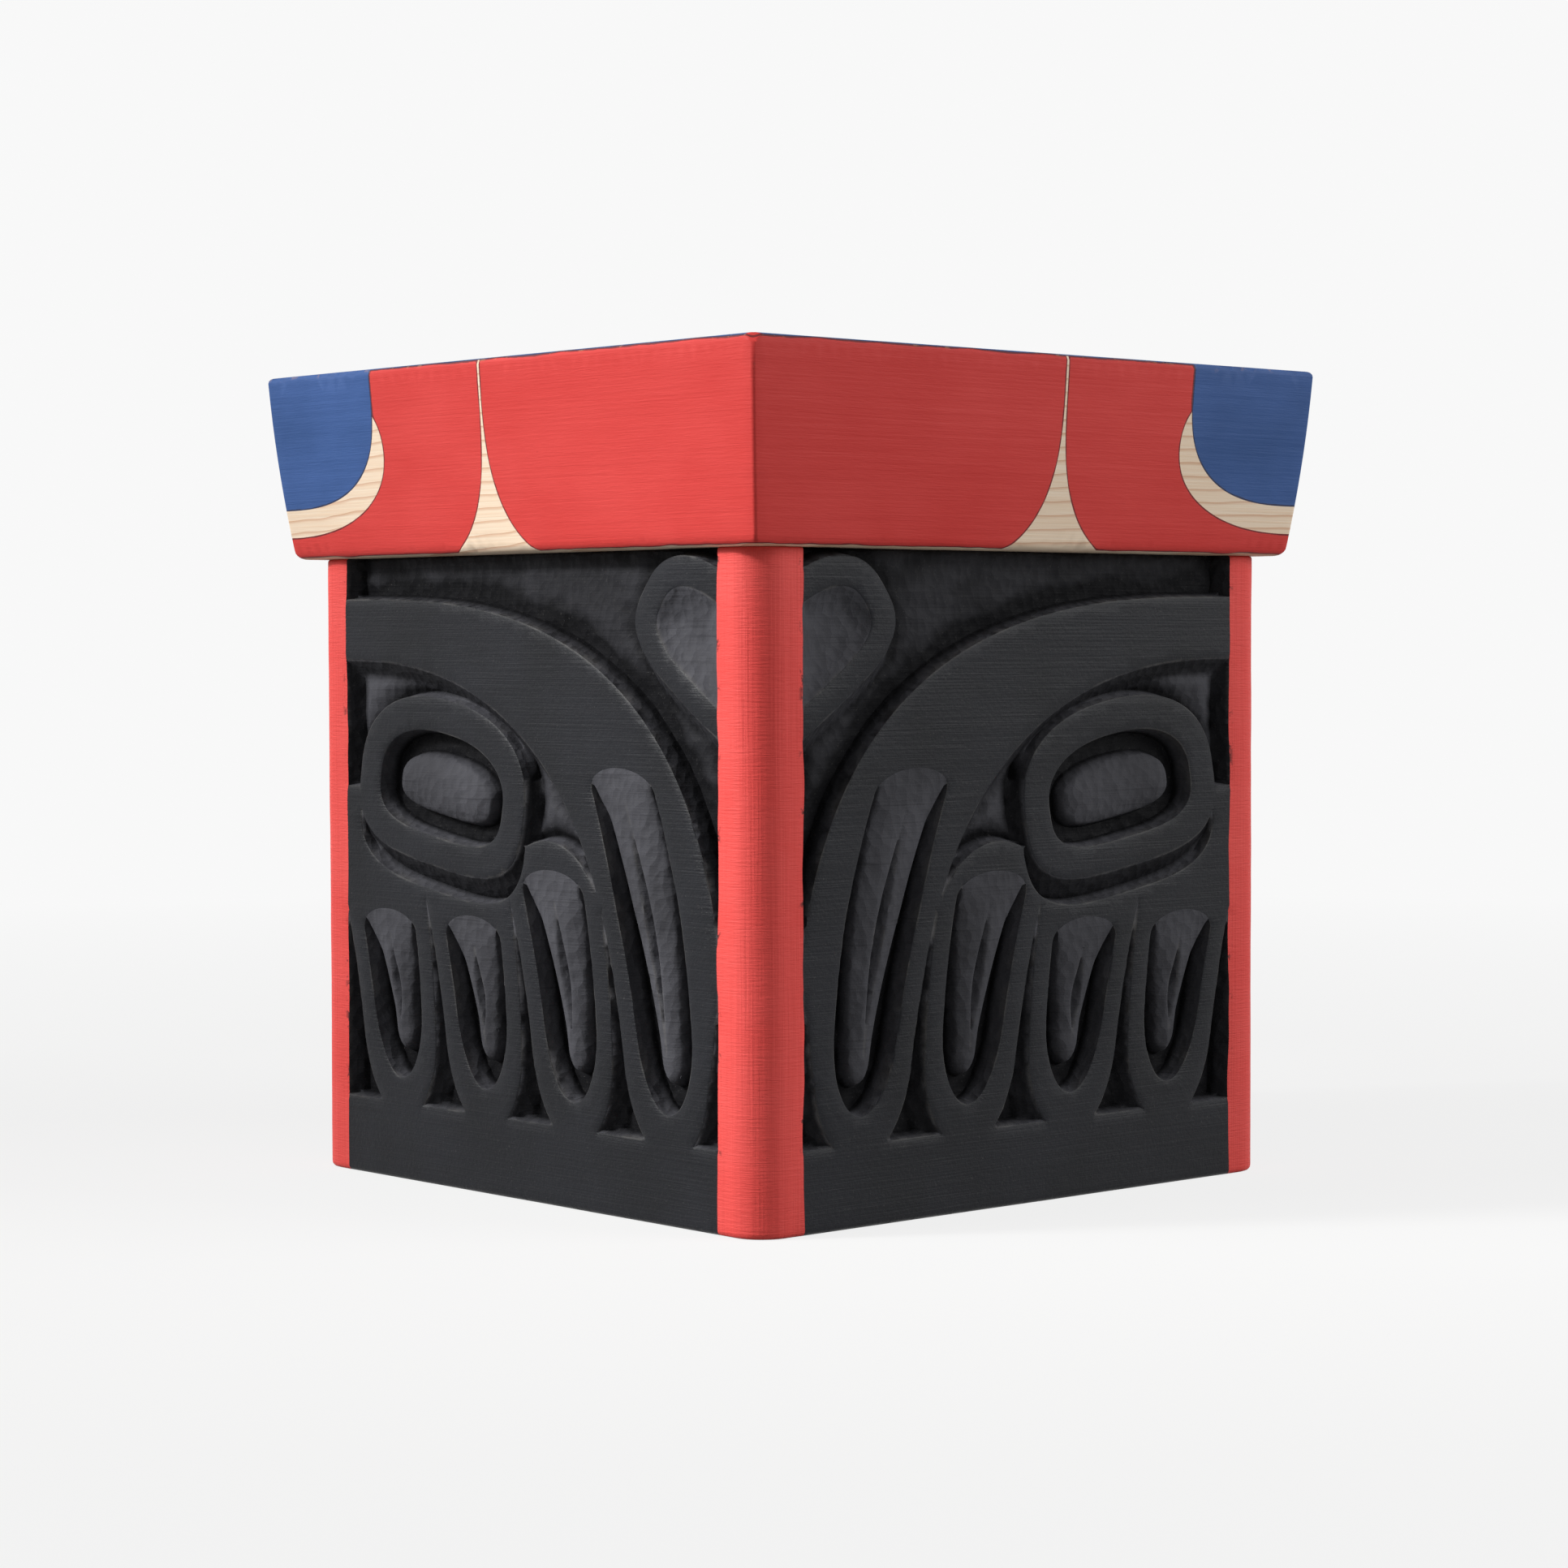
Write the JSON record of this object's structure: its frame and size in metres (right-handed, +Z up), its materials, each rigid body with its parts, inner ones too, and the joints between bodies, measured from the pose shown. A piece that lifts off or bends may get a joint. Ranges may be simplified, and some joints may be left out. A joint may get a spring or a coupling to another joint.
{
  "type": "bentwood box",
  "caption": "Square bentwood box with carved wing panels, a board pegged into the bottom and a thick hollowed lid that lifts straight off",
  "frame": {"origin": "on the floor under the centre of the box", "axes": "Z up through the middle of the lid; the carved corner of the picture points to -X -Y; the pegged joint is in the corner at +X +Y"},
  "size_m": [0.2724, 0.2724, 0.292],
  "materials": {
    "black_painted_cedar": "satin black paint over carved cedar, with red painted corners",
    "red_painted_cedar": "satin red and blue paint over planed cedar, with bare wood left between the fields",
    "bare_cedar": "planed cedar, unfinished",
    "peg_wood": "whittled hardwood pegs, trimmed flush"
  },
  "bodies": {
    "box_body": {"side_plank": "black_painted_cedar", "base_board": "bare_cedar", "corner_peg_1": "peg_wood", "corner_peg_2": "peg_wood", "corner_peg_3": "peg_wood", "corner_peg_4": "peg_wood", "corner_peg_5": "peg_wood", "corner_peg_6": "peg_wood", "base_peg_1": "peg_wood", "base_peg_2": "peg_wood", "base_peg_3": "peg_wood", "base_peg_4": "peg_wood", "base_peg_5": "peg_wood", "base_peg_6": "peg_wood", "base_peg_7": "peg_wood", "base_peg_8": "peg_wood", "base_peg_9": "peg_wood", "base_peg_10": "peg_wood", "base_peg_11": "peg_wood", "base_peg_12": "peg_wood"},
    "lid_body": {"lid": "red_painted_cedar"}
  },
  "joints": [
    {"name": "lid_lift", "type": "slide", "parent": "box_body", "child": "lid_body", "axis": [0, 0, 1], "range_m": [0, 0.25]}
  ]
}
